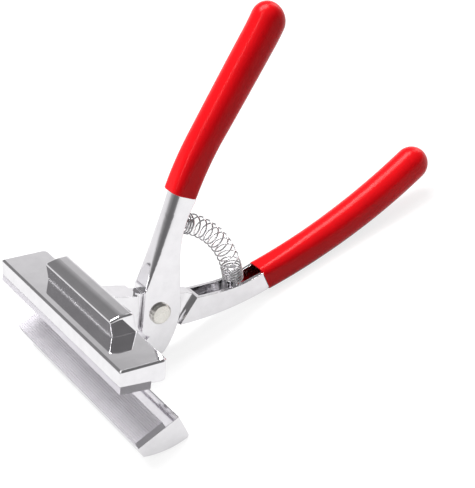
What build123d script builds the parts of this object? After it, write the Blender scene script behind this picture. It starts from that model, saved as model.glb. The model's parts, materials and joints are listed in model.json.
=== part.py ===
from build123d import *
import math
import os

# Canvas pliers. Lengths are in millimetres and angles in degrees.
# The side view looks along +Y with the pivot at its origin and the upper jaw's top level.
# The pliers are drawn open, and the fork half's own outlines are drawn closed and then turned.

# Driving dimensions
jaw_width = 120.0
jaw_reach = 51.8
open_angle = 32.0
fork_reach = 59.3
fork_rise = 46.4
arm_reach = 60.6
arm_rise = 3.2

# Where the jaws meet
bite_slope = 4.5
bite_drop = 1.5
bite_gap = 0.3
strip_depth = 15.4
strip_thickness = 3.9

# Upper jaw bar
bar_depth = 24.2
bar_top = 10.9
bar_lip = 1.0
bar_rear_radius = 3.0
bar_corner_radius = 3.0
bar_bevel = 0.9
bar_edge_radius = 0.5

# Hammer block on the bar
block_length = 65.0
block_depth = 13.1
block_overhang = 1.3
block_ridge_height = 8.4
block_ridge_radius = 1.6
block_crown_height = 9.8
block_crown_depth = 9.2
block_crown_radius = 14.0
block_back_height = 10.0
block_back_depth = 2.3
block_back_radius = 1.9
block_end_radius = 1.4

# Lower jaw bar
ledge_depth = 7.7
lower_front_height = 5.9
lower_rear_height = 13.6
lower_belly = 1.9
lower_rear_radius = 1.6
lower_front_radius = 0.6

# Neck and waist between the upper jaw and its handle
neck_width = 13.0
neck_top = 12.4
neck_fall = 12.5
neck_foot = 2.0
shoulder_setback = 12.6
shoulder_radius = 13.2
toe_angle = -150.0
waist_thickness = 6.6
waist_depth = 9.2

# Arm, the channel of the lower handle
arm_width = 12.0
arm_wall = 1.8
arm_top_height = 3.4
arm_front = 20.5
arm_flat_length = 13.5
joggle_back = 9.0
joggle_foot_length = 2.8
joggle_head_length = 6.3
joggle_shares = (-0.5, 1.5)
arm_belly = 2.1
arm_tang_depth = 10.4
arm_tang_radius = 1.4

# Fork, the channel of the upper handle
fork_width = 11.0
fork_wall = 1.9
cheek_gap = 0.3
stop_gap = 0.35
eye_radius = 12.7
throat_gap = 0.7
cheek_step = 1.3
cheek_inset = 0.7
fork_tang_depth = 12.2
fork_tang_radius = 4.0
chin_radius = 5.0
hip_radius = 9.0
corner_radii = (1.0, 3.8, 5.0, 5.0)
channel_corner_radius = 1.6

# Outline of the fork along and across the line from the pivot to the grip's mouth
fork_heel_shares = (0.202, 0.180)
fork_hip_shares = (0.199, -0.144)
fork_chin_shares = (-0.359, -0.123)
fork_knee_shares = (0.448, -0.083)
fork_belly = 3.6
fork_hollow = 2.45
eye_back_angle = 142.8
corner_shares = (0.0, 0.42, 0.80, 1.0)

# Pivot rivet
rivet_radius = 3.0
rivet_fit = 0.05
rivet_head_radius = 5.4
rivet_head_height = 1.9
rivet_bevel = 0.9
rivet_play = 0.1

# Grips: heading at the mouth, bend and the length that it takes
fork_grip_heading = 38.0
fork_grip_bend = -11.0
fork_grip_bend_length = 30.0
fork_grip_length = 98.6
fork_tip_lean = 1.7
fork_mouth_width = 13.0
fork_mouth_depth = 14.2
fork_mid_width = 15.0
fork_mid_depth = 15.8
fork_end_width = 16.2
fork_end_depth = 17.4
arm_grip_heading = 16.5
arm_grip_bend = 18.4
arm_grip_bend_length = 100.0
arm_grip_length = 110.5
arm_mouth_width = 14.0
arm_mouth_depth = 13.8
arm_mid_width = 15.0
arm_mid_depth = 16.6
arm_end_width = 16.2
arm_end_depth = 18.0
tang_setback = 9.0
mouth_corner_share = 0.24
mid_corner_share = 0.40
end_corner_share = 0.47
station_shares = (0.0, 0.22, 0.45, 0.68, 0.86)
swell_shares = (0.0, 0.40, 0.75, 0.95, 1.0)
lean_start_share = 0.82
dome_angles = (0.0, 20.0, 38.0, 54.0, 68.0, 80.0)

# Return spring and its studs
spring_radius = 44.8
coil_radius = 5.0
wire_diameter = 0.8
tail_radius = 1.0
lower_close_turns = 5
open_turns = 10
upper_close_turns = 2
close_pitch = 1.5
turn_step_share = 0.025
lower_spring_angle = 5.6
upper_spring_angle = 74.8
stud_radius = 3.0
stud_stand = 8.0
stud_dome = 1.2

# One overrun serves all cuts that run past a surface
overrun = 30.0

bar_rear = jaw_reach - bar_depth
bite_reach = jaw_reach - strip_depth / 2
seat_level = bite_gap / 2 + strip_thickness
cheek_inner = waist_thickness / 2 + cheek_gap
side = Plane.XZ
closed_side = side.rotated((0, -open_angle, 0))
fork_side = side.rotated((0, -open_angle - fork_rise, 0))


def turned(point, angle):
    """A side-view point turned about the pivot, counter-clockwise for a positive angle."""
    cosine = math.cos(math.radians(angle))
    sine = math.sin(math.radians(angle))
    return (point[0] * cosine - point[1] * sine, point[0] * sine + point[1] * cosine)


def polar(radius, angle):
    """A side-view point at a distance and an angle from the pivot."""
    return turned((radius, 0), angle)


def shifted(point, along, up):
    """A point moved along both axes of its plane."""
    return (point[0] + along, point[1] + up)


def bite_point(along, up):
    """A closed side-view point, from distances along the bite plane and over it."""
    level = turned((along, up), -bite_slope)
    return (level[0] - bite_reach, level[1] - bite_drop)


def bite_height(x, level):
    """Height of a line parallel to the bite plane where it passes x."""
    slope = math.radians(bite_slope)
    return level / math.cos(slope) - bite_drop - (x + bite_reach) * math.tan(slope)


def bite_side(base):
    """The side view with its origin at the middle of the bite and x along it."""
    origin = base.from_local_coords((-bite_reach, -bite_drop, 0))
    return Plane(origin=origin, x_dir=base.x_dir, z_dir=base.z_dir).rotated((0, bite_slope, 0))


def neck_height(x):
    """Height of the neck's and the waist's straight top where it passes x."""
    return neck_top - (x + shoulder_setback) * math.tan(math.radians(neck_fall))


def along_grip(grip, distance, sideways=0.0):
    """A side-view point along a grip's centre line or beside it, and the heading there."""
    mouth, heading, bend, bend_length = grip
    start = math.radians(heading)
    bent = min(distance, bend_length)
    radius = bend_length / math.radians(bend)
    end = start + bent / radius
    x = mouth[0] + radius * (math.sin(end) - math.sin(start)) + (distance - bent) * math.cos(end)
    z = mouth[1] - radius * (math.cos(end) - math.cos(start)) + (distance - bent) * math.sin(end)
    return (x - sideways * math.sin(end), z + sideways * math.cos(end)), math.degrees(end)


def grip_plane(base, grip, distance, sideways=0.0):
    """The plane square to a grip's centre line, with x across the handle."""
    point, heading = along_grip(grip, distance, sideways)
    ahead = shifted(point, *turned((1, 0), heading))
    origin = base.from_local_coords((*point, 0))
    return Plane(origin=origin, x_dir=(0, 1, 0), z_dir=base.from_local_coords((*ahead, 0)) - origin)


def blend(first, second, share):
    """The value that lies a share of the way from the first to the second."""
    return first + (second - first) * share


fork_grip = (polar(fork_reach, fork_rise), fork_grip_heading, fork_grip_bend, fork_grip_bend_length)
arm_grip = (polar(arm_reach, arm_rise), arm_grip_heading, arm_grip_bend, arm_grip_bend_length)


def grip_core(base, grip, length, width, depth, radius):
    """The space that a handle's tang takes up inside its grip."""
    with BuildPart() as core:
        for share in station_shares:
            with BuildSketch(grip_plane(base, grip, share / station_shares[-1] * length)):
                RectangleRounded(width, depth, radius)
        loft()
    return core.part


def grip_body(base, grip, length, mouth, middle, end, tip_lean):
    """A grip's outer form: it swells from the mouth and closes in a round tip that leans aside."""
    tip_radius = end[1] / 2
    neck_length = length - tip_radius

    def leaning(distance):
        late = max(distance / length - lean_start_share, 0) / (1 - lean_start_share)
        return tip_lean * late**2

    with BuildPart() as body:
        for share, swell in zip(station_shares, swell_shares):
            half = min(swell * 2, 1)
            rest = max(swell * 2 - 1, 0)
            width = blend(blend(mouth[0], middle[0], half), end[0], rest)
            depth = blend(blend(mouth[1], middle[1], half), end[1], rest)
            corner = blend(blend(mouth_corner_share, mid_corner_share, half), end_corner_share, rest)
            distance = share / station_shares[-1] * neck_length
            with BuildSketch(grip_plane(base, grip, distance, leaning(distance))):
                RectangleRounded(width, depth, corner * min(width, depth))
        loft()
        for angle in dome_angles:
            scale = math.cos(math.radians(angle))
            distance = neck_length + tip_radius * math.sin(math.radians(angle))
            corner = end_corner_share * min(end[0], end[1]) * scale
            with BuildSketch(grip_plane(base, grip, distance, leaning(distance))):
                RectangleRounded(end[0] * scale, end[1] * scale, corner)
        loft(ruled=True)
    return body.part


def slot_outline(grip, length, floor, away):
    """Side outline of a channel's open space inside a grip, from its floor outwards."""
    bend_length = min(grip[3], length)
    start = along_grip(grip, 0, floor)[0]
    turn = along_grip(grip, bend_length, floor)[0]
    end = along_grip(grip, length, floor)[0]
    ThreePointArc(start, along_grip(grip, bend_length / 2, floor)[0], turn)
    if length > bend_length:
        Line(turn, end)
    Polyline(end, along_grip(grip, length, away)[0], along_grip(grip, 0, away)[0], start)


os.makedirs("parts", exist_ok=True)

# Upper jaw: a bar with a level top and a seat for its grip strip
with BuildPart() as upper_jaw:
    lip_level = seat_level - bar_lip
    with BuildSketch(side):
        with BuildLine():
            FilletPolyline(
                (-jaw_reach, bar_top),
                (-bar_rear, bar_top),
                (-bar_rear, bite_height(-bar_rear, lip_level)),
                (-jaw_reach, bite_height(-jaw_reach, lip_level)),
                radius=(0, 0, bar_rear_radius, 0),
                close=True,
            )
        make_face()
    extrude(amount=jaw_width / 2, both=True)
    with BuildSketch() as bar_plan:
        with Locations((-bar_rear, 0)):
            Rectangle(jaw_reach - bar_rear, jaw_width, align=(Align.MAX, Align.CENTER))
        fillet(bar_plan.vertices().group_by(Axis.X)[-1], bar_corner_radius)
    extrude(amount=overrun, both=True, mode=Mode.INTERSECT)
    with BuildSketch(bite_side(side)):
        with Locations((strip_depth / 2, seat_level)):
            Rectangle(strip_depth + overrun, seat_level + overrun, align=(Align.MAX, Align.MAX))
    extrude(amount=jaw_width / 2 + overrun, both=True, mode=Mode.SUBTRACT)
    chamfer(upper_jaw.faces().sort_by(Axis.Z)[-1].edges(), bar_bevel)
    fillet(upper_jaw.edges().filter_by(Axis.Z).group_by(Axis.X)[0], bar_edge_radius)
upper_jaw.part.label = "upper_jaw"


def grip_strip(base, level):
    """A strip of grip lining as wide as the jaws, on the given side of the bite plane."""
    with BuildPart() as strip:
        with BuildSketch(bite_side(base)):
            with Locations((0, level * (bite_gap + strip_thickness) / 2)):
                Rectangle(strip_depth, strip_thickness)
        extrude(amount=jaw_width / 2, both=True)
    return strip


upper_grip_strip = grip_strip(side, 1)
upper_grip_strip.part.label = "upper_grip_strip"
lower_grip_strip = grip_strip(closed_side, -1)
lower_grip_strip.part.label = "lower_grip_strip"

# Hammer block: an undercut front, a rounded crown and a slightly sloping back
with BuildPart() as hammer_block:
    block_front = bar_rear + block_depth
    with BuildSketch(side):
        with BuildLine():
            FilletPolyline(
                (-bar_rear, bar_top),
                (-block_front, bar_top),
                (-block_front - block_overhang, bar_top + block_ridge_height),
                (-bar_rear - block_crown_depth, bar_top + block_crown_height),
                (-bar_rear - block_back_depth, bar_top + block_back_height),
                radius=(0, 0, block_ridge_radius, block_crown_radius, block_back_radius),
                close=True,
            )
        make_face()
    extrude(amount=block_length / 2, both=True)
    rims = hammer_block.faces().filter_by(Axis.Y).edges()
    fillet(rims.filter_by(lambda rim: rim.center().Z > bar_top + bar_lip), block_end_radius)
hammer_block.part.label = "hammer_block"

# Lower jaw: a flat top with a ledge behind the strip, and a full underside
with BuildPart() as lower_jaw:
    jaw_front = -strip_depth / 2
    jaw_rear = strip_depth / 2 + ledge_depth
    front_foot = (jaw_front, -seat_level - lower_front_height)
    rear_foot = (jaw_rear, -seat_level - lower_rear_height)
    with BuildSketch(bite_side(closed_side)) as jaw_section:
        with BuildLine():
            Polyline(front_foot, (jaw_front, -seat_level), (jaw_rear, -seat_level), rear_foot)
            SagittaArc(rear_foot, front_foot, lower_belly)
        make_face()
        fillet(jaw_section.vertices().sort_by(Axis.Y)[0], lower_rear_radius)
        fillet(jaw_section.vertices().sort_by(Axis.X)[:2].sort_by(Axis.Y)[0], lower_front_radius)
    extrude(amount=jaw_width / 2, both=True)
lower_jaw.part.label = "lower_jaw"

# Neck, waist and arm of the lower handle, one piece with a channel along the arm
arm_mouth_top, arm_mouth_heading = along_grip(arm_grip, 0, arm_tang_depth / 2)
arm_mouth_foot = along_grip(arm_grip, 0, -arm_tang_depth / 2)[0]
arm_flat_end = (arm_front + arm_flat_length, arm_top_height)
arm_foot = (arm_front - joggle_back, -waist_depth)
toe = polar(shoulder_radius, toe_angle)
arm_tang = grip_core(
    side, arm_grip, arm_grip_length - tang_setback, arm_width, arm_tang_depth, arm_tang_radius
)


def slant_plane(place, slant):
    """The plane square to the joggle's slanting edge, with x towards the waist."""
    along = turned((1, 0), slant)
    origin = side.from_local_coords((*place, 0))
    return Plane(origin=origin, x_dir=(-along[1], 0, along[0]), z_dir=(along[0], 0, along[1]))


def arm_space():
    """Side outline of the open channel outside the grip."""
    left = shifted(arm_foot, arm_wall, arm_wall)
    right = along_grip(arm_grip, 0, arm_wall - arm_tang_depth / 2)[0]
    SagittaArc(left, right, -arm_belly)
    Polyline(
        right,
        along_grip(arm_grip, 0, overrun)[0],
        (arm_front + arm_wall, overrun),
        (arm_front + arm_wall, arm_top_height),
        left,
    )


with BuildPart() as lower_handle:
    neck_front = -bar_rear - block_depth / 2
    arm_head = (arm_front, arm_top_height)
    with BuildSketch(side):
        with BuildLine():
            Polyline((-bar_rear, neck_foot), toe, arm_foot)
            SagittaArc(arm_foot, arm_mouth_foot, -arm_belly)
            Line(arm_mouth_foot, arm_mouth_top)
            TangentArc(arm_flat_end, arm_mouth_top, tangent=(1, 0))
            Polyline(
                arm_flat_end,
                arm_head,
                (arm_front - arm_wall, neck_height(arm_front - arm_wall)),
                (-bar_rear, neck_height(-bar_rear)),
                (-bar_rear, neck_foot),
            )
        make_face()
    extrude(amount=arm_width / 2, both=True)
    # The waist lies between the fork's cheeks and sweeps out to the arm's width
    slant = math.degrees(math.atan2(arm_head[1] - arm_foot[1], joggle_back))
    slant_length = math.dist(arm_head, arm_foot)
    with BuildSketch(slant_plane(arm_foot, slant)):
        for way in (1, -1):
            with Locations((joggle_head_length + overrun, way * (waist_thickness + overrun) / 2)):
                Rectangle(2 * overrun, overrun)
    extrude(amount=2 * overrun, both=True, mode=Mode.SUBTRACT)
    for way in (1, -1):
        for share in joggle_shares:
            place = shifted(arm_foot, *turned((share * slant_length, 0), slant))
            reach = blend(joggle_foot_length, joggle_head_length, share)
            with BuildSketch(slant_plane(place, slant)):
                scoop_start = (reach, way * waist_thickness / 2)
                scoop_end = (0, way * arm_width / 2)
                with BuildLine():
                    TangentArc(scoop_start, scoop_end, tangent=(-1, 0))
                    Polyline(
                        scoop_end,
                        (0, way * overrun),
                        (overrun, way * overrun),
                        (overrun, way * waist_thickness / 2),
                        scoop_start,
                    )
                make_face()
        loft(ruled=True, mode=Mode.SUBTRACT)
    # The neck keeps its full width as far as a shoulder that is round about the pivot
    with BuildSketch(side):
        with BuildLine():
            shoulder = (-shoulder_setback, math.sqrt(shoulder_radius**2 - shoulder_setback**2))
            Polyline(toe, (-bar_rear, neck_foot), (-bar_rear, bar_top), (neck_front, bar_top))
            Polyline(
                (neck_front, bar_top),
                (neck_front, neck_height(neck_front)),
                (-shoulder_setback, neck_height(-shoulder_setback)),
                shoulder,
            )
            RadiusArc(shoulder, toe, -shoulder_radius)
        make_face()
    extrude(amount=neck_width / 2, both=True)
    add(upper_jaw.part, mode=Mode.SUBTRACT)
    add(hammer_block.part, mode=Mode.SUBTRACT)
    with BuildSketch(side):
        with BuildLine():
            arm_space()
        make_face()
    extrude(amount=arm_width / 2 - arm_wall, both=True, mode=Mode.SUBTRACT)
    add(arm_tang)
    with BuildSketch(side):
        with BuildLine():
            arm_slot_length = arm_grip_length - tang_setback - arm_wall
            slot_outline(arm_grip, arm_slot_length, arm_wall - arm_tang_depth / 2, overrun)
        make_face()
    extrude(amount=arm_width / 2 - arm_wall, both=True, mode=Mode.SUBTRACT)
    with BuildSketch(side):
        Circle(rivet_radius)
    extrude(amount=arm_width, both=True, mode=Mode.SUBTRACT)
lower_handle.part.label = "lower_handle"

# Fork of the upper handle: two cheeks, and a web along the back whose corners grow rounder
mouth_back = turned(along_grip(fork_grip, 0, fork_tang_depth / 2)[0], -fork_rise)
mouth_front = turned(along_grip(fork_grip, 0, -fork_tang_depth / 2)[0], -fork_rise)
heel, hip, knee, chin = (
    (fork_reach * along, fork_reach * across)
    for along, across in (fork_heel_shares, fork_hip_shares, fork_knee_shares, fork_chin_shares)
)
throat = polar(eye_radius, toe_angle + math.degrees(throat_gap / eye_radius) - fork_rise)
eye_back = polar(eye_radius, eye_back_angle)
cheek_head = turned(bite_point(jaw_rear, -seat_level - cheek_step), -fork_rise)
cheek_foot = turned(bite_point(jaw_rear, rear_foot[1] + lower_rear_radius + cheek_inset), -fork_rise)
back_length = math.dist(heel, mouth_back)
back_heading = math.degrees(math.atan2(mouth_back[1] - heel[1], mouth_back[0] - heel[0]))
fork_tang = grip_core(
    closed_side, fork_grip, fork_grip_length - tang_setback, fork_width, fork_tang_depth, fork_tang_radius
)


def back_point(distance, inside=0.0):
    """A point along the fork's back from the heel, or inside it."""
    return shifted(heel, *turned((distance, -inside), back_heading))


def back_plane(distance):
    """The plane square to the fork's back, with its origin on the back."""
    origin = fork_side.from_local_coords((*back_point(distance), 0))
    ahead = fork_side.from_local_coords((*back_point(distance + fork_wall), 0))
    return Plane(origin=origin, x_dir=(0, 1, 0), z_dir=ahead - origin)


# The channel between the cheeks, with round corners along the web
with BuildPart() as fork_channel:
    with BuildSketch(back_plane(0)) as channel_section:
        with Locations((0, -fork_wall)):
            Rectangle(2 * cheek_inner, 2 * overrun, align=(Align.CENTER, Align.MAX))
        fillet(channel_section.vertices().sort_by(Axis.Y)[-2:], channel_corner_radius)
    extrude(amount=3 * overrun, both=True)

with BuildPart() as upper_handle:
    for share, corner in zip(corner_shares, corner_radii):
        with BuildSketch(back_plane(share * back_length)) as fork_section:
            Rectangle(fork_width, overrun, align=(Align.CENTER, Align.MAX))
            fillet(fork_section.vertices().sort_by(Axis.Y)[-2:], corner)
    loft(ruled=True)
    with BuildSketch(back_plane(0)):
        Rectangle(fork_width, 2 * overrun)
    extrude(amount=-2 * overrun)
    with BuildSketch(fork_side) as fork_outline:
        with BuildLine():
            SagittaArc(mouth_front, knee, -fork_hollow)
            Line(knee, hip)
            SagittaArc(hip, chin, fork_belly)
            Polyline(chin, cheek_foot, cheek_head, throat)
            RadiusArc(throat, eye_back, eye_radius)
            Polyline(eye_back, heel, mouth_back, mouth_front)
        make_face()
        fillet(fork_outline.vertices().sort_by_distance((*chin, 0))[0], chin_radius)
        fillet(fork_outline.vertices().sort_by_distance((*hip, 0))[0], hip_radius)
    extrude(amount=fork_width / 2, both=True, mode=Mode.INTERSECT)
    add(fork_channel.part, mode=Mode.SUBTRACT)
    # The web ends just over the neck, which stops the handles from opening further
    with BuildSketch(side):
        with BuildLine():
            Polyline(
                (-overrun, neck_height(-overrun) + stop_gap),
                (overrun, neck_height(overrun) + stop_gap),
                (overrun, -2 * overrun),
                (-overrun, -2 * overrun),
                close=True,
            )
        make_face()
    extrude(amount=cheek_inner, both=True, mode=Mode.SUBTRACT)
    add(fork_tang)
    with BuildSketch(closed_side):
        with BuildLine():
            fork_slot_length = fork_grip_length - tang_setback - fork_wall
            slot_outline(fork_grip, fork_slot_length, fork_tang_depth / 2 - fork_wall, -overrun)
        make_face()
    extrude(amount=cheek_inner, both=True, mode=Mode.SUBTRACT)
    with BuildSketch(side):
        Circle(rivet_radius + rivet_fit)
    extrude(amount=fork_width, both=True, mode=Mode.SUBTRACT)
upper_handle.part.label = "upper_handle"

# Rivet: its shaft is tight in the waist and runs free in the cheeks
with BuildPart() as pivot_rivet:
    head_start = fork_width / 2 + rivet_play
    with BuildSketch(side):
        Circle(rivet_radius)
    extrude(amount=head_start, both=True)
    for height, direction in ((head_start, 1), (-head_start, -1)):
        with BuildSketch(side.offset(height)):
            Circle(rivet_head_radius)
        extrude(amount=direction * rivet_head_height)
    rims = pivot_rivet.edges().filter_by(GeomType.CIRCLE).group_by(Axis.Y)
    chamfer(rims[0] + rims[-1], rivet_bevel)
pivot_rivet.part.label = "pivot_rivet"

# Grip sleeves, each open at its mouth and full of its tang
with BuildPart() as upper_grip_sleeve:
    add(
        grip_body(
            closed_side,
            fork_grip,
            fork_grip_length,
            (fork_mouth_width, fork_mouth_depth),
            (fork_mid_width, fork_mid_depth),
            (fork_end_width, fork_end_depth),
            fork_tip_lean,
        )
    )
    add(fork_tang, mode=Mode.SUBTRACT)
upper_grip_sleeve.part.label = "upper_grip_sleeve"

with BuildPart() as lower_grip_sleeve:
    add(
        grip_body(
            side,
            arm_grip,
            arm_grip_length,
            (arm_mouth_width, arm_mouth_depth),
            (arm_mid_width, arm_mid_depth),
            (arm_end_width, arm_end_depth),
            0,
        )
    )
    add(arm_tang, mode=Mode.SUBTRACT)
lower_grip_sleeve.part.label = "lower_grip_sleeve"


def stud_blank(angle, direction):
    """A round-ended peg along the spring's axis, long enough to reach through the handle."""
    foot = side.from_local_coords((*polar(spring_radius, angle), 0))
    axis = side.from_local_coords((*turned((0, direction), angle), 0))
    with BuildPart() as blank:
        with BuildSketch(Plane(origin=foot, z_dir=axis)):
            Circle(stud_radius)
        extrude(amount=stud_stand)
        fillet(blank.edges().filter_by(GeomType.CIRCLE), stud_dome)
        with BuildSketch(Plane(origin=foot, z_dir=axis)):
            Circle(stud_radius)
        extrude(amount=-overrun)
        with BuildSketch(Plane(origin=foot, z_dir=axis)):
            Circle(stud_radius)
        extrude(amount=stud_stand / 2)
    return blank.part


# Studs inside the spring's ends, each seated on the floor of its handle's channel
with BuildPart() as lower_spring_stud:
    add(stud_blank(lower_spring_angle, 1))
    with BuildSketch(side):
        with BuildLine():
            arm_space()
        make_face()
    extrude(amount=arm_width, both=True, mode=Mode.INTERSECT)
lower_spring_stud.part.label = "lower_spring_stud"

with BuildPart() as upper_spring_stud:
    add(stud_blank(upper_spring_angle, -1))
    add(fork_channel.part, mode=Mode.INTERSECT)
upper_spring_stud.part.label = "upper_spring_stud"


# Return spring: one wire wound on an arc about the pivot, closer at both ends
def circle_crossing(centre, radius, reach, near):
    """The point of a circle that lies at a distance from the pivot, on the side of another point."""
    away = math.hypot(*centre)
    along = (reach**2 - radius**2 + away**2) / (2 * away)
    across = math.sqrt(reach**2 - along**2)
    heading = math.degrees(math.atan2(centre[1], centre[0]))
    crossings = (turned((along, across), heading), turned((along, -across), heading))
    return min(crossings, key=lambda point: math.dist(point, near))


def arc_centre(start, end, sagitta):
    """Centre of the circle through two points that bulges from their line, to its left if over zero."""
    chord = math.dist(start, end)
    radius = (chord**2 / 4 + sagitta**2) / (2 * sagitta)
    heading = math.degrees(math.atan2(end[1] - start[1], end[0] - start[0]))
    return shifted(start, *turned((chord / 2, sagitta - radius), heading))


def tail_points(foot, centre, outwards):
    """The wire's end on a channel's edge, the bend above it, the coil's end, and the way it heads."""
    normal = Vector(centre[0] - foot[0], 0, centre[1] - foot[1]).normalized()
    ahead = normal.rotate(Axis.Y, 90)
    tip = Vector(foot[0], -coil_radius, foot[1])
    if ahead.dot(tip) * outwards < 0:
        ahead = ahead * -1
    stem = tip + normal * wire_diameter
    return tip, stem, stem + (normal + ahead) * tail_radius, ahead


def coil_point(turns, first, last):
    """A point of the coil after a number of turns, between the angles of its two ends."""
    middle = (last - first) * spring_radius - close_pitch * (lower_close_turns + upper_close_turns)
    lower = min(turns, lower_close_turns)
    opened = min(max(turns - lower_close_turns, 0), open_turns)
    upper = max(turns - lower_close_turns - open_turns, 0)
    travel = close_pitch * (lower + upper) + middle * opened / open_turns
    angle = first + travel / spring_radius
    phase = 2 * math.pi * turns - math.pi / 2
    reach = spring_radius + coil_radius * math.cos(phase)
    return Vector(reach * math.cos(angle), coil_radius * math.sin(phase), reach * math.sin(angle))


def biarc(start, start_way, end, end_way):
    """Two arcs that meet smoothly and join two points in their given directions."""
    span = end - start
    ways = start_way + end_way
    reach = span.dot(ways)
    spread = 4 - ways.dot(ways)
    length = (math.sqrt(reach**2 + spread * span.dot(span)) - reach) / spread
    middle = (start + start_way * length + end - end_way * length) / 2
    first = TangentArc(start, middle, tangent=start_way)
    TangentArc(middle, end, tangent=first % 1)


arm_rise_radius = math.dist(arm_flat_end, arm_mouth_top) ** 2 / (2 * (arm_mouth_top[1] - arm_flat_end[1]))
arm_edge_centre = shifted(arm_flat_end, 0, arm_rise_radius)
lower_foot = circle_crossing(
    arm_edge_centre, arm_rise_radius, spring_radius - tail_radius, polar(spring_radius, lower_spring_angle)
)
fork_edge_centre = arc_centre(mouth_front, knee, -fork_hollow)
fork_edge_radius = math.dist(mouth_front, fork_edge_centre)
fork_turn = open_angle + fork_rise
upper_foot = turned(
    circle_crossing(fork_edge_centre, fork_edge_radius, spring_radius + tail_radius, knee), fork_turn
)
lower_tip, lower_stem, lower_coil, lower_ahead = tail_points(lower_foot, arm_edge_centre, 1)
upper_tip, upper_stem, upper_coil, upper_ahead = tail_points(
    upper_foot, turned(fork_edge_centre, fork_turn), -1
)
first_angle = math.atan2(lower_coil.Z, lower_coil.X)
last_angle = math.atan2(upper_coil.Z, upper_coil.X)
all_turns = lower_close_turns + open_turns + upper_close_turns


def coil_way(turns):
    """Direction of the wire after a number of turns."""
    before = coil_point(turns - turn_step_share, first_angle, last_angle)
    return (coil_point(turns + turn_step_share, first_angle, last_angle) - before).normalized()


with BuildPart() as return_spring:
    with BuildLine() as wire_path:
        Line(lower_tip, lower_stem)
        TangentArc(lower_stem, lower_coil, tangent=lower_stem - lower_tip)
        place, way = lower_coil, lower_ahead
        for half_turns in range(1, 2 * all_turns):
            onward = coil_point(half_turns / 2, first_angle, last_angle)
            onward_way = coil_way(half_turns / 2)
            biarc(place, way, onward, onward_way)
            place, way = onward, onward_way
        biarc(place, way, upper_coil, upper_ahead * -1)
        TangentArc(upper_coil, upper_stem, tangent=upper_ahead * -1)
        Line(upper_stem, upper_tip)
    with BuildSketch(Plane(origin=wire_path.line @ 0, z_dir=wire_path.line % 0)):
        Circle(wire_diameter / 2)
    sweep()
return_spring.part.label = "return_spring"


def least_gap(wire, clear_length, count=1500):
    """The least gap of a wound tube to itself, between points further apart along it than given."""
    length = wire.length
    points = [tuple(wire.position_at(step / count)) for step in range(count + 1)]
    skip = math.ceil(clear_length / length * count)
    pairs = ((points[i], points[j]) for i in range(count + 1) for j in range(i + skip, count + 1))
    return min(math.dist(first, second) for first, second in pairs) - wire_diameter


wound = wire_path.wire()
wire_volume = wound.length * math.pi * wire_diameter**2 / 4
print("Spring's wire length:", round(wound.length, 1))
volume_ratio = return_spring.part.volume / wire_volume
print("Spring's volume over its section times its length:", round(volume_ratio, 4))
print("Spring's least gap to itself:", round(least_gap(wound, math.pi * coil_radius), 3))

pieces = (
    upper_jaw,
    upper_grip_strip,
    hammer_block,
    lower_jaw,
    lower_grip_strip,
    lower_handle,
    upper_handle,
    pivot_rivet,
    upper_grip_sleeve,
    lower_grip_sleeve,
    lower_spring_stud,
    upper_spring_stud,
    return_spring,
)


def lowest(part, tilt):
    """Lowest height of a part when the pliers are tipped forward about the pivot."""
    return part.rotate(Axis.Y, tilt).bounding_box().min.Z


# The pliers stand on the lower jaw's underside and the lower grip's belly
slight, steep = 0.0, 45.0
for halving in range(24):
    tilt = (slight + steep) / 2
    if lowest(lower_grip_sleeve.part, tilt) > lowest(lower_jaw.part, tilt):
        slight = tilt
    else:
        steep = tilt
boxes = [piece.part.rotate(Axis.Y, tilt).bounding_box() for piece in pieces]
middle_x = (min(box.min.X for box in boxes) + max(box.max.X for box in boxes)) / 2
floor_z = min(box.min.Z for box in boxes)
stand = Location((-middle_x, 0, -floor_z), (0, tilt, 0))
print("Tilt:", round(tilt, 3), "Pivot:", tuple(round(value, 3) for value in stand.position))

for piece in pieces:
    piece.part.location = stand
    export_step(piece.part, f"parts/{piece.part.label}.step")
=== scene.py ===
import json
import math

import bpy
from mathutils import Euler, Matrix, Vector


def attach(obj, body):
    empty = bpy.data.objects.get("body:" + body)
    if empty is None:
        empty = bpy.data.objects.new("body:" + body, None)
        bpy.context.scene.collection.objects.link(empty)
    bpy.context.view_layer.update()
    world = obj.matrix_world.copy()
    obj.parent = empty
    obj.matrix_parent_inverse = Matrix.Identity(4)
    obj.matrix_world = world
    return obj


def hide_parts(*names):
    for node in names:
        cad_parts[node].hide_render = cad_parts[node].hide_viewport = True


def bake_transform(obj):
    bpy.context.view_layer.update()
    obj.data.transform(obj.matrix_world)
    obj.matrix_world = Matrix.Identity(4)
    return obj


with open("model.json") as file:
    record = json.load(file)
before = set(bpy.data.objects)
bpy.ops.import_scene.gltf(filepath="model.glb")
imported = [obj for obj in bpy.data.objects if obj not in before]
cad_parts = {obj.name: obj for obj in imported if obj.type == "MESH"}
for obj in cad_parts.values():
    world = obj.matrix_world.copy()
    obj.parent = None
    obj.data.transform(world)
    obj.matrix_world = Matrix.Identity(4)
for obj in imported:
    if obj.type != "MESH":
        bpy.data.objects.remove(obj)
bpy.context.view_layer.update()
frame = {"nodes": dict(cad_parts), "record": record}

# Canvas pliers in metres, with angles in degrees. The side view has the pivot at its origin and the
# upper jaw level. The fork half is drawn closed there and stands opened.
hinge = frame["record"]["behaviour"]["joints"][0]
pivot = Vector(hinge["pos_m"])
open_angle = hinge["range_deg"][1]
tilt = 20.176
jaw_width = 0.120
bite_slope = 4.5
bite_drop = 0.0015
bite_reach = 0.0441
bite_gap = 0.0003
strip_depth = 0.0154
strip_thickness = 0.0039


def tipped(angle):
    """A turn about the axis that runs along the rivet."""
    return Matrix.Rotation(math.radians(angle), 4, "Y")


def bite_stand(half_stand):
    """Where a half's bite face stands."""
    return half_stand @ Matrix.Translation((-bite_reach, 0, -bite_drop)) @ tipped(bite_slope)


level_stand = Matrix.Translation(pivot) @ tipped(tilt)
closed_stand = level_stand @ tipped(-open_angle)


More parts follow.
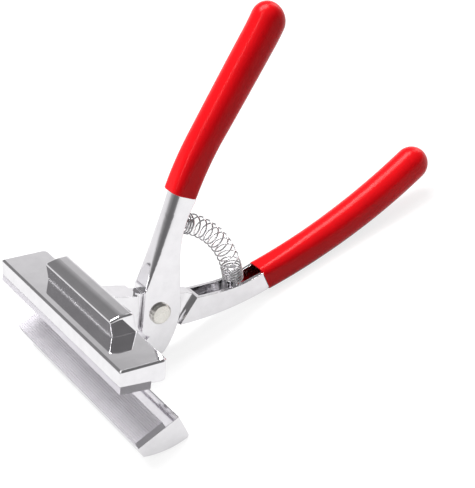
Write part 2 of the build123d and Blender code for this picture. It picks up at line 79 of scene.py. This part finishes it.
def around_pivot(radius, angle):
    """The side-view point at a radius from the pivot and an angle above the level."""
    return radius * math.cos(math.radians(angle)), radius * math.sin(math.radians(angle))


def mesh_piece(name, points, faces, material, body, sharp_angle):
    """A new mesh object that rides on a body and takes its finish from a slot."""
    mesh = bpy.data.meshes.new(name)
    mesh.from_pydata(points, [], faces)
    mesh.validate()
    mesh.update()
    piece = bpy.data.objects.new(name, mesh)
    bpy.context.collection.objects.link(piece)
    mesh.materials.append(material)
    mesh.shade_smooth()
    mesh.set_sharp_from_angle(angle=math.radians(sharp_angle))
    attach(piece, body)
    return piece


def band(low, high, size):
    """The faces between two rings of points, from where each ring starts and how many points it has."""
    return [
        (low + step, low + (step + 1) % size, high + (step + 1) % size, high + step)
        for step in range(size)
    ]


# Materials
cloud_low, cloud_high = 0.3, 0.7


class Nodes:
    """Short calls for making the nodes of a material or of the world."""

    def __init__(self, owner):
        owner.use_nodes = True
        self.tree = owner.node_tree

    def feed(self, socket, value):
        """Sets an input to a value, or links it to another node's output."""
        if isinstance(value, bpy.types.NodeSocket):
            self.tree.links.new(value, socket)
        else:
            socket.default_value = value

    def node(self, kind, inputs=None, **settings):
        """A new node with its settings, and with its inputs fed by name or by place."""
        made = self.tree.nodes.new("ShaderNode" + kind)
        for key, value in settings.items():
            setattr(made, key, value)
        for key, value in (inputs or {}).items():
            self.feed(made.inputs[key], value)
        return made

    def ranged(self, value, low, high, first, last):
        """A value carried from one range over to another."""
        inputs = {"From Min": low, "From Max": high, "To Min": first, "To Max": last, "Value": value}
        return self.node("MapRange", inputs).outputs["Result"]

    def share(self, value, low, high):
        """0 up to the low value and 1 from the high value on, with an even slope between."""
        return self.ranged(value, low, high, 0, 1)

    def combined(self, operation, first, second):
        return self.node("Math", {0: first, 1: second}, operation=operation).outputs["Value"]

    def mixed(self, share, first, second):
        """A mix of two colours. Blender knows a colour mix's sockets by these places."""
        return self.node("Mix", {0: share, 6: first, 7: second}, data_type="RGBA").outputs[2]

    def shader_mix(self, share, first, second):
        """The first shader at a share of 0 and the second at 1."""
        inputs = {"Fac": share, 1: first.outputs[0], 2: second.outputs[0]}
        return self.node("MixShader", inputs)


class Finish(Nodes):
    """A new material, with patterns that lie over the piece in metres."""

    def __init__(self, name):
        self.material = bpy.data.materials.new(name)
        super().__init__(self.material)
        self.shader = self.tree.nodes["Principled BSDF"]
        self.place = self.node("TexCoord").outputs["Object"]

    def noise(self, scale, detail, rough=0.5, place=None):
        inputs = {"Scale": scale, "Detail": detail, "Roughness": rough, "Vector": place or self.place}
        return self.node("TexNoise", inputs).outputs["Fac"]

    def streaks(self, scale, turn):
        """Noise drawn out into lines by its three scales, and turned."""
        turn = [math.radians(angle) for angle in turn]
        drawn = self.node("Mapping", {"Scale": scale, "Rotation": turn, "Vector": self.place})
        return self.noise(scale=1.0, detail=3.0, rough=0.6, place=drawn.outputs["Vector"])

    def openness(self, reach):
        """How open the space within reach is: near 0 in a corner and 1 in the open."""
        return self.node("AmbientOcclusion", {"Distance": reach}, samples=8).outputs["AO"]

    def shade(self, inputs):
        for key, value in inputs.items():
            self.feed(self.shader.inputs[key], value)

    def bump(self, layers, edge=None):
        """Bumps given as height and depth in metres, one over another, on edges rounded by a radius."""
        normal = {}
        if edge:
            normal = {"Normal": self.node("Bevel", {"Radius": edge}, samples=6).outputs["Normal"]}
        for height, depth in layers:
            bump = self.node("Bump", {"Distance": depth, "Height": height} | normal)
            normal = {"Normal": bump.outputs["Normal"]}
        self.shade(normal)


def metal(name, bright, dull, rough, wave_depth, edge=None, inner_rough=0.0, inner_metal=1.0):
    """Plated or bare metal: wavy from its forging, finely scratched, rougher and duller inside, and with
    painted shade where parts close in.
    """
    corner_reach, corner_end, corner_painted_shade_most, corner_painted_shade_level = 0.006, 0.35, 0.35, 0.35
    corner_painted_shade_tone = [channel * corner_painted_shade_level for channel in dull[:3]] + [1]
    inside_start, inside_end = 0.30, 0.46
    least_rough, most_rough = rough * 0.75, rough * 1.4
    scratch_rough, scratch_depth, grain_depth = 0.06, 0.000001, 0.0000008
    nodes = Finish(name)
    waves = nodes.noise(scale=22.0, detail=1.0)
    cloud = nodes.noise(scale=160.0, detail=3.0)
    grain = nodes.noise(scale=2600.0, detail=2.0)
    along = nodes.streaks(scale=(90.0, 2600.0, 90.0), turn=(12, 0, 35))
    across = nodes.streaks(scale=(2300.0, 110.0, 150.0), turn=(0, 25, 8))
    scratches = nodes.combined(
        "MAXIMUM", nodes.share(along, low=0.60, high=0.72), nodes.share(across, low=0.62, high=0.74)
    )
    open_share = nodes.openness(corner_reach)
    # Painted shade: the colour darkens towards a darker tone where little of the open is within reach.
    corner_painted_shade = nodes.ranged(open_share, 0.0, corner_end, corner_painted_shade_most, 0)
    added_rough = nodes.ranged(open_share, inside_start, inside_end, inner_rough, 0)
    tone = nodes.mixed(nodes.share(cloud, low=0.35, high=0.7), bright, dull)
    base_rough = nodes.ranged(cloud, cloud_low, cloud_high, least_rough, most_rough)
    scratched = nodes.combined("MULTIPLY", scratches, scratch_rough)
    nodes.shade({
        "Base Color": nodes.mixed(corner_painted_shade, tone, corner_painted_shade_tone),
        "Metallic": nodes.ranged(open_share, inside_start, inside_end, inner_metal, 1.0),
        "Roughness": nodes.combined("ADD", nodes.combined("ADD", base_rough, added_rough), scratched),
    })
    nodes.bump(((waves, wave_depth), (grain, grain_depth), (scratches, -scratch_depth)), edge)
    return nodes.material


plated_steel = metal(
    "plated_steel", bright=(0.90, 0.89, 0.91, 1), dull=(0.85, 0.84, 0.86, 1), rough=0.04,
    wave_depth=0.00003, edge=0.0004, inner_rough=0.34, inner_metal=0.3,
)
rivet_steel = metal(
    "rivet_steel", bright=(0.84, 0.82, 0.77, 1), dull=(0.74, 0.72, 0.67, 1), rough=0.24,
    wave_depth=0.00003, edge=0.0002,
)
spring_steel = metal(
    "spring_steel", bright=(0.62, 0.61, 0.62, 1), dull=(0.42, 0.41, 0.42, 1), rough=0.20,
    wave_depth=0.00001,
)


def dipped_plastic():
    """Glossy red coating with faint orange peel, cloudy colour, light scuffs and painted shade in its
    hollow.
    """
    red, deep_red, speck_red = (0.80, 0.005, 0.009, 1), (0.70, 0.004, 0.008, 1), (0.50, 0.004, 0.008, 1)
    inside_painted_shade_tone, inside_reach = (0.05, 0.02, 0.02, 1), 0.008
    speck_most, least_rough, most_rough, scuff_rough = 0.35, 0.20, 0.27, 0.10
    cloud_depth, peel_depth, scuff_depth = 0.00012, 0.000012, 0.000004
    nodes = Finish("red_grip")
    cloud = nodes.noise(scale=45.0, detail=3.0)
    fine = nodes.noise(scale=700.0, detail=2.0)
    peel = nodes.noise(scale=380.0, detail=2.0)
    scuffs = nodes.streaks(scale=(900.0, 120.0, 700.0), turn=(20, 0, 30))
    scuffed = nodes.share(scuffs, low=0.64, high=0.80)
    tone = nodes.mixed(nodes.share(cloud, cloud_low, cloud_high), red, deep_red)
    specks = nodes.ranged(fine, low=0.66, high=0.74, first=0, last=speck_most)
    specked = nodes.mixed(specks, tone, speck_red)
    # Painted shade: the coat's colour darkens to a near black red where it is closed in, inside the mouth.
    inside = nodes.ranged(nodes.openness(inside_reach), low=0.25, high=0.60, first=1, last=0)
    gloss = nodes.ranged(cloud, cloud_low, cloud_high, least_rough, most_rough)
    nodes.shade({
        "Base Color": nodes.mixed(inside, specked, inside_painted_shade_tone),
        "Roughness": nodes.combined("ADD", gloss, nodes.combined("MULTIPLY", scuffed, scuff_rough)),
        "IOR": 1.5,
        "Specular IOR Level": 0.22,
        "Specular Tint": (1.0, 0.55, 0.55, 1),
    })
    nodes.bump(((cloud, cloud_depth), (peel, peel_depth), (scuffed, -scuff_depth)))
    return nodes.material


def lining_rubber():
    """Matt grey lining with fine grain and painted shade between its ribs."""
    pale, grey, rib_painted_shade_tone = (0.66, 0.64, 0.68, 1), (0.61, 0.59, 0.63, 1), (0.46, 0.44, 0.47, 1)
    rib_painted_shade_reach, least_rough, most_rough = 0.0012, 0.45, 0.60
    cloud_depth, grain_depth = 0.00004, 0.000008
    nodes = Finish("grip_lining")
    cloud = nodes.noise(scale=120.0, detail=3.0)
    grain = nodes.noise(scale=3200.0, detail=2.0)
    tone = nodes.mixed(nodes.share(cloud, cloud_low, cloud_high), pale, grey)
    # Painted shade: the colour darkens between the ribs, where little of the open is within reach.
    rib_painted_shade = nodes.ranged(nodes.openness(rib_painted_shade_reach), low=0.3, high=0.95, first=1, last=0)
    nodes.shade({
        "Base Color": nodes.mixed(rib_painted_shade, tone, rib_painted_shade_tone),
        "Roughness": nodes.ranged(grain, cloud_low, cloud_high, least_rough, most_rough),
        "Specular IOR Level": 0.25,
    })
    nodes.bump(((cloud, cloud_depth), (grain, grain_depth)))
    return nodes.material


red_grip = dipped_plastic()
grip_lining = lining_rubber()

for material, names in (
    (plated_steel, ("upper_jaw", "hammer_block", "lower_jaw", "lower_handle", "upper_handle")),
    (plated_steel, ("lower_spring_stud", "upper_spring_stud")),
    (rivet_steel, ("pivot_rivet",)),
    (grip_lining, ("upper_grip_strip", "lower_grip_strip")),
    (spring_steel, ("return_spring",)),
    (red_grip, ("upper_grip_sleeve", "lower_grip_sleeve")),
):
    for name in names:
        for slot in frame["nodes"][name].material_slots:
            slot.material = material


# Grips: a dipped coat over each handle's tang, with a rounded lip at its slanting mouth. Corners are
# shares of a section's smaller side. The coat is a little thinner and shorter than its solid, so that
# it stays inside the solid's box, and the last point lies at a share of the solid's length.
section_share = 0.993
shortened = 0.0001
tip_share = 0.999
lip = 0.0005
inner_depths = (0.045, 0.030, 0.015, lip)
lip_angles = (-90, -60, -30, 0)
mouth_corner, middle_corner, end_corner = 0.30, 0.46, 0.49
swell_power = 1.8
slant_share = 0.2
lean_start = 0.82
corner_steps, grip_rings, cap_rings = 14, 56, 20
grip_sharp_angle = 40


def blend(first, second, share):
    """The value that lies a share of the way from the first to the second."""
    return first + (second - first) * share


def along_grip(grip, distance, sideways):
    """The side-view point at a distance along a grip's centre line, moved sideways from it."""
    start = math.radians(grip["heading"])
    bent = min(distance, grip["bend_length"])
    radius = grip["bend_length"] / math.radians(grip["bend"])
    end = start + bent / radius
    x, z = around_pivot(grip["reach"], grip["rise"])
    x += radius * (math.sin(end) - math.sin(start)) + (distance - bent) * math.cos(end)
    z += (distance - bent) * math.sin(end) - radius * (math.cos(end) - math.cos(start))
    return x - sideways * math.sin(end), z + sideways * math.cos(end)


def round_ring(width, depth, corner):
    """Points of a rectangle with round corners, across and up, as many for every size."""
    corner = min(corner, width / 2, depth / 2)
    points = []
    for quarter, (side_x, side_z) in enumerate(((1, 1), (-1, 1), (-1, -1), (1, -1))):
        for step in range(corner_steps + 1):
            angle = math.pi / 2 * (quarter + step / corner_steps)
            points.append((
                side_x * (width / 2 - corner) + corner * math.cos(angle),
                side_z * (depth / 2 - corner) + corner * math.sin(angle),
            ))
    return points


def grip_sections(grip):
    """The sections from inside the mouth out to the lip and on to the tip, each as its distance, its
    nearness to the mouth, its width, its depth and its corner."""
    mouth, middle, end = grip["mouth"], grip["middle"], grip["end"]
    length, tip = grip["length"] - shortened, end[1] / 2
    for distance in inner_depths:
        yield distance, 1.0, *grip["tang"]
    for angle in lip_angles:
        inset = lip * (1 - math.cos(math.radians(angle)))
        distance = lip * (1 + math.sin(math.radians(angle)))
        yield distance, 1.0, mouth[0] - 2 * inset, mouth[1] - 2 * inset, mouth_corner * min(mouth)
    for ring in range(1, grip_rings + 1):
        share = ring / grip_rings
        swell = 1 - (1 - share) ** swell_power
        half, rest = min(swell * 2, 1), max(swell * 2 - 1, 0)
        width = blend(blend(mouth[0], middle[0], half), end[0], rest)
        depth = blend(blend(mouth[1], middle[1], half), end[1], rest)
        corner = blend(blend(mouth_corner, middle_corner, half), end_corner, rest)
        yield blend(lip, length - tip, share), 1.0 - share, width, depth, corner * min(width, depth)
    for cap in range(1, cap_rings):
        angle = math.pi / 2 * cap / cap_rings
        width, depth = end[0] * math.cos(angle), end[1] * math.cos(angle)
        yield length - tip + tip * math.sin(angle), 0.0, width, depth, end_corner * min(width, depth)


def grip_piece(name, grip, stand, body, node):
    """A grip that turns back inside its own mouth and closes over its tip."""
    points = []
    for distance, near_mouth, width, depth, corner in grip_sections(grip):
        slant = grip["mouth_slant"] * max(near_mouth - 1 + slant_share, 0) / slant_share
        late = max(distance / grip["length"] - lean_start, 0) / (1 - lean_start)
        ring = round_ring(width * section_share, depth * section_share, corner)
        for across, up in ring:
            x, z = along_grip(grip, distance + slant * up, up + grip["tip_lean"] * late**2)
            points.append(stand @ Vector((x, across, z)))
    size, tip = len(ring), len(points)
    last = tip - size
    x, z = along_grip(grip, grip["length"] * tip_share, grip["tip_lean"])
    points.append(stand @ Vector((x, 0, z)))
    faces = []
    for low in range(0, last, size):
        faces += band(low, low + size, size)
    faces += [(last + step, last + (step + 1) % size, tip) for step in range(size)]
    faces.append(tuple(range(size)))
    piece = mesh_piece(name, points, faces, red_grip, body, grip_sharp_angle)
    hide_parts(node)


upper_grip = {
    "reach": 0.0593, "rise": 46.4, "heading": 38.0, "bend": -11.0, "bend_length": 0.030, "length": 0.0986,
    "mouth": (0.0130, 0.0142), "middle": (0.0150, 0.0158), "end": (0.0162, 0.0174),
    "tang": (0.0110, 0.0122, 0.0040), "mouth_slant": 0.02, "tip_lean": 0.0017,
}
lower_grip = {
    "reach": 0.0606, "rise": 3.2, "heading": 16.5, "bend": 18.4, "bend_length": 0.100, "length": 0.1105,
    "mouth": (0.0140, 0.0138), "middle": (0.0150, 0.0166), "end": (0.0162, 0.0180),
    "tang": (0.0120, 0.0104, 0.0014), "mouth_slant": -0.17, "tip_lean": 0.0,
}
grip_piece("upper_grip", upper_grip, closed_stand, "fork_half", "upper_grip_sleeve")
grip_piece("lower_grip", lower_grip, level_stand, "fulcrum_half", "lower_grip_sleeve")

# Linings: fine ribs along the bite face, which the canvas is drawn against. A rib's outline is given
# as shares of its pitch and of its depth.
rib_pitch = 0.0011
rib_depth = 0.00014
rib_outline = ((0.30, 0), (0.42, 1), (0.58, 1), (0.70, 0))
lining_edge = 0.0002
lining_sharp_angle = 20


def lining_piece(name, stand, way, body, node):
    """A lining that lies above the bite face for a way of 1, or below it for a way of -1."""
    side, top = strip_depth / 2, bite_gap / 2
    back = top + strip_thickness
    count = int(strip_depth / rib_pitch)
    margin = (strip_depth - count * rib_pitch) / 2
    profile = [(-side, top + lining_edge), (-side + lining_edge, top)]
    for rib in range(count):
        start = -side + margin + rib * rib_pitch
        profile += [(start + rib_pitch * share, top + rib_depth * sunk) for share, sunk in rib_outline]
    profile += [(side - lining_edge, top), (side, top + lining_edge), (side, back), (-side, back)]
    size = len(profile)
    points = [stand @ Vector((x, y, way * z)) for y in (-jaw_width / 2, jaw_width / 2) for x, z in profile]
    faces = band(0, size, size) + [tuple(range(size)), tuple(range(size, 2 * size))]
    piece = mesh_piece(name, points, faces, grip_lining, body, lining_sharp_angle)
    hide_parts(node)


lining_piece("upper_lining", bite_stand(level_stand), 1, "fulcrum_half", "upper_grip_strip")
lining_piece("lower_lining", bite_stand(closed_stand), -1, "fork_half", "lower_grip_strip")

# Return spring: a copy of the CAD spring's wire, which takes its place
spring = frame["nodes"]["return_spring"].copy()
spring.data = spring.data.copy()
spring.name = "spring_wire"
spring.parent = None
spring.matrix_world = Matrix.Identity(4)
bpy.context.collection.objects.link(spring)
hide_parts("return_spring")
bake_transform(spring)

# Studio: a pale floor, soft lamps, and a sky that is white to the camera. Mirror faces see it bright
# at the horizon behind, and dark above and in front. Matt faces are lit by it from above and behind.
half_floor = 4.0
green_share = 0.99
lamp_aim = Vector((0.0, 0.0, 0.06))


def floor_paint():
    """A matt floor that glows for the camera and in mirror faces, and is plain to other rays."""
    plain_level, seen_level = 0.42, 0.25
    mirrored_glow, camera_glow = 0.60, 0.80
    material = bpy.data.materials.new("floor")
    nodes = Nodes(material)
    nodes.tree.nodes.clear()
    path = nodes.node("LightPath").outputs
    seen = nodes.combined("MAXIMUM", path["Is Camera Ray"], path["Is Glossy Ray"])
    seen = nodes.combined("MAXIMUM", seen, path["Is Transmission Ray"])
    plain = nodes.node("BsdfDiffuse", {"Color": (plain_level, plain_level, plain_level, 1)})
    dim = nodes.node("BsdfDiffuse", {"Color": (seen_level, seen_level, seen_level, 1)})
    strength = nodes.ranged(path["Is Camera Ray"], 0, 1, mirrored_glow, camera_glow)
    glow = nodes.node("Emission", {"Strength": strength})
    both = nodes.node("AddShader", {0: dim.outputs[0], 1: glow.outputs[0]})
    nodes.node("OutputMaterial", {"Surface": nodes.shader_mix(seen, plain, both).outputs[0]})
    return material


floor_mesh = bpy.data.meshes.new("floor")
floor_mesh.from_pydata(
    [(x * half_floor, y * half_floor, 0) for x, y in ((-1, -1), (1, -1), (1, 1), (-1, 1))],
    [],
    [(0, 1, 2, 3)],
)
floor = bpy.data.objects.new("floor", floor_mesh)
bpy.context.collection.objects.link(floor)
floor_mesh.materials.append(floor_paint())

world = bpy.data.worlds.new("studio")
bpy.context.scene.world = world
sky = Nodes(world)
sky.tree.nodes.clear()
direction = sky.node("TexCoord").outputs["Generated"]
split = sky.node("SeparateXYZ", {0: direction}).outputs


def by_height(levels):
    """Grey levels of the sky by height, from the horizon up, with a trace less green."""
    ramp = sky.node("ValToRGB", {"Fac": split["Z"]})
    while len(ramp.color_ramp.elements) < len(levels):
        ramp.color_ramp.elements.new(0.5)
    for element, (height, level) in zip(ramp.color_ramp.elements, levels):
        element.position = height
        element.color = (level, level * green_share, level, 1)
    return ramp.outputs["Color"]


def front_to_back(reach, front, back):
    """A background that passes from the sky in front to the sky behind, over a reach on either side."""
    return sky.node("Background", {"Color": sky.mixed(sky.share(split["Y"], -reach, reach), front, back)})


mirrored_sky = front_to_back(
    0.35,
    by_height(((0.0, 0.30), (0.15, 0.16), (0.50, 0.16), (1.0, 0.22))),
    by_height((
        (0.0, 0.95), (0.26, 0.78), (0.30, 0.67), (0.345, 0.44),
        (0.42, 0.32), (0.50, 0.23), (0.62, 0.25), (0.8, 0.34),
    )),
)
lighting_sky = front_to_back(
    0.6,
    by_height(((0.0, 0.01), (0.5, 0.03), (0.85, 0.40))),
    by_height(((0.0, 0.40), (0.5, 0.48), (0.85, 0.60))),
)
white_sky = sky.node("Background", {"Color": (1, 1, 1, 1)})
path = sky.node("LightPath").outputs
unseen_sky = sky.shader_mix(path["Is Glossy Ray"], lighting_sky, mirrored_sky)
straight = sky.combined("MAXIMUM", path["Is Camera Ray"], path["Is Transmission Ray"])
whole_sky = sky.shader_mix(straight, unseen_sky, white_sky)
sky.node("OutputWorld", {"Surface": whole_sky.outputs[0]})


def softbox(name, place, width, height, power, mirrored=True):
    """A rectangular lamp that faces the pliers, seen in mirror faces or not."""
    light = bpy.data.lights.new(name, "AREA")
    light.shape = "RECTANGLE"
    light.size = width
    light.size_y = height
    light.energy = power
    lamp = bpy.data.objects.new(name, light)
    bpy.context.collection.objects.link(lamp)
    lamp.visible_glossy = mirrored
    lamp.location = place
    lamp.rotation_euler = (lamp_aim - Vector(place)).to_track_quat("-Z", "Y").to_euler()


softbox("overhead", (0.08, 0.32, 1.1), width=0.9, height=0.5, power=16.0)
softbox("left", (-0.66, -0.11, 0.95), width=0.05, height=0.9, power=2.6)
softbox("front", (-1.1, 0.10, 0.25), width=0.8, height=0.5, power=3.6, mirrored=False)
softbox("right", (0.9, 0.30, 0.5), width=0.35, height=0.8, power=2.0)

# Camera, placed and turned from the pivot
camera_place = (-0.32410, -0.54157, 0.34616)
camera_angles = (63.814, -3.139, -32.808)
camera_data = bpy.data.cameras.new("camera")
camera_data.sensor_fit = "VERTICAL"
camera_data.sensor_height = 36.0
camera_data.lens = 110.34
camera_data.clip_start = 0.01
camera = bpy.data.objects.new("camera", camera_data)
bpy.context.collection.objects.link(camera)
camera_turn = Euler([math.radians(angle) for angle in camera_angles])
camera.matrix_world = level_stand @ Matrix.LocRotScale(camera_place, camera_turn, None)
bpy.context.scene.camera = camera
bpy.context.scene.view_settings.view_transform = "Standard"
